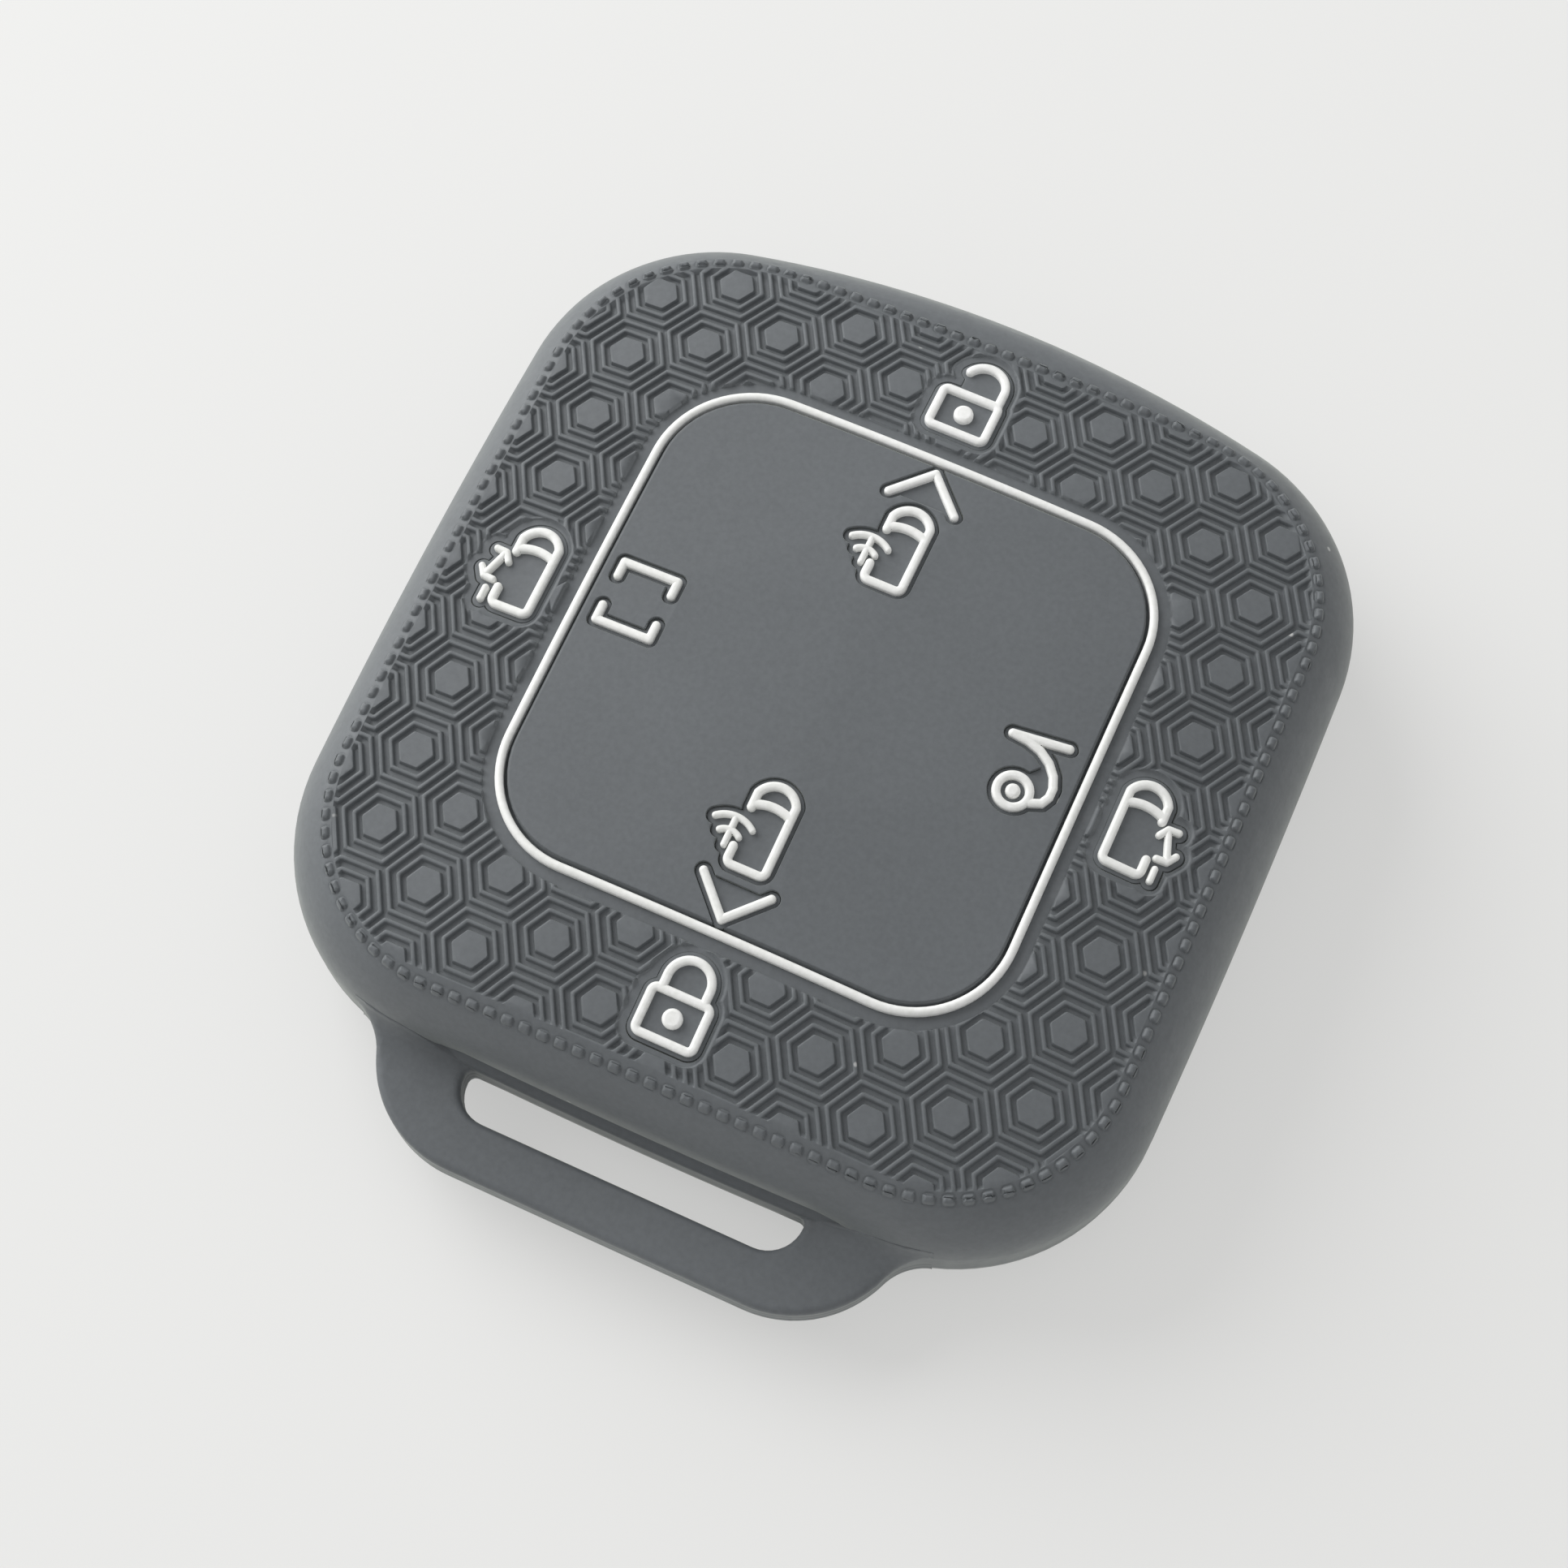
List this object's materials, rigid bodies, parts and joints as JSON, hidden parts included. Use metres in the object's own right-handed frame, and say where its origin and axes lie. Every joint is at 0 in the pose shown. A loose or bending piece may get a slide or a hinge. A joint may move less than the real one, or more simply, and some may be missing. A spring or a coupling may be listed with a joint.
{
  "type": "silicone key fob cover",
  "caption": "Soft silicone cover for a square car key: crowned honeycomb face with raised white marks over press pads, rounded shoulder, open back with a holding lip, and a strap loop.",
  "frame": {"origin": "middle of the bounding box on the plane of the back rim that it rests on", "axes": "+X towards the right-hand door mark, +Y away from the strap loop, +Z out of the face"},
  "size_m": [0.062, 0.0702, 0.0166],
  "materials": {
    "grey_silicone": "matte",
    "white_silicone": "satin"
  },
  "bodies": {
    "cover": {"cover_shell": "grey_silicone", "panel_ring": "white_silicone"},
    "unlock_key": {"unlock_pad": "grey_silicone", "unlock_padlock": "white_silicone", "unlock_keyhole": "white_silicone"},
    "lock_key": {"lock_pad": "grey_silicone", "lock_padlock": "white_silicone", "lock_keyhole": "white_silicone"},
    "forward_key": {"forward_pad": "grey_silicone", "forward_car": "white_silicone", "forward_chevron": "white_silicone", "forward_remote_mark": "white_silicone"},
    "back_key": {"back_pad": "grey_silicone", "back_car": "white_silicone", "back_chevron": "white_silicone", "back_remote_mark": "white_silicone"},
    "left_door_key": {"left_door_pad": "grey_silicone", "left_door_car": "white_silicone", "left_door_arrow": "white_silicone", "left_door_sill": "white_silicone"},
    "right_door_key": {"right_door_pad": "grey_silicone", "right_door_car": "white_silicone", "right_door_arrow": "white_silicone", "right_door_sill": "white_silicone"},
    "bay_key": {"bay_pad": "grey_silicone", "bay_top_bracket": "white_silicone", "bay_bottom_bracket": "white_silicone"},
    "tailgate_key": {"tailgate_pad": "grey_silicone", "tailgate_hook": "white_silicone", "tailgate_hub": "white_silicone"}
  },
  "joints": [
    {"name": "unlock_press", "type": "slide", "parent": "cover", "child": "unlock_key", "axis": [0, -0.1088, -0.9941], "range_m": [0, 0.0006], "stiffness_N_per_m": 1500},
    {"name": "lock_press", "type": "slide", "parent": "cover", "child": "lock_key", "axis": [0, 0.1183, -0.993], "range_m": [0, 0.0006], "stiffness_N_per_m": 1500},
    {"name": "forward_press", "type": "slide", "parent": "cover", "child": "forward_key", "axis": [0, -0.0615, -0.9981], "range_m": [0, 0.0006], "stiffness_N_per_m": 1500},
    {"name": "back_press", "type": "slide", "parent": "cover", "child": "back_key", "axis": [0, 0.0606, -0.9982], "range_m": [0, 0.0006], "stiffness_N_per_m": 1500},
    {"name": "left_door_press", "type": "slide", "parent": "cover", "child": "left_door_key", "axis": [0.1106, 0.0015, -0.9939], "range_m": [0, 0.0006], "stiffness_N_per_m": 1500},
    {"name": "right_door_press", "type": "slide", "parent": "cover", "child": "right_door_key", "axis": [-0.1106, 0.0015, -0.9939], "range_m": [0, 0.0006], "stiffness_N_per_m": 1500},
    {"name": "bay_press", "type": "slide", "parent": "cover", "child": "bay_key", "axis": [0.0694, -0.0024, -0.9976], "range_m": [0, 0.0006], "stiffness_N_per_m": 1500},
    {"name": "tailgate_press", "type": "slide", "parent": "cover", "child": "tailgate_key", "axis": [-0.0671, -0.0024, -0.9977], "range_m": [0, 0.0006], "stiffness_N_per_m": 1500}
  ]
}
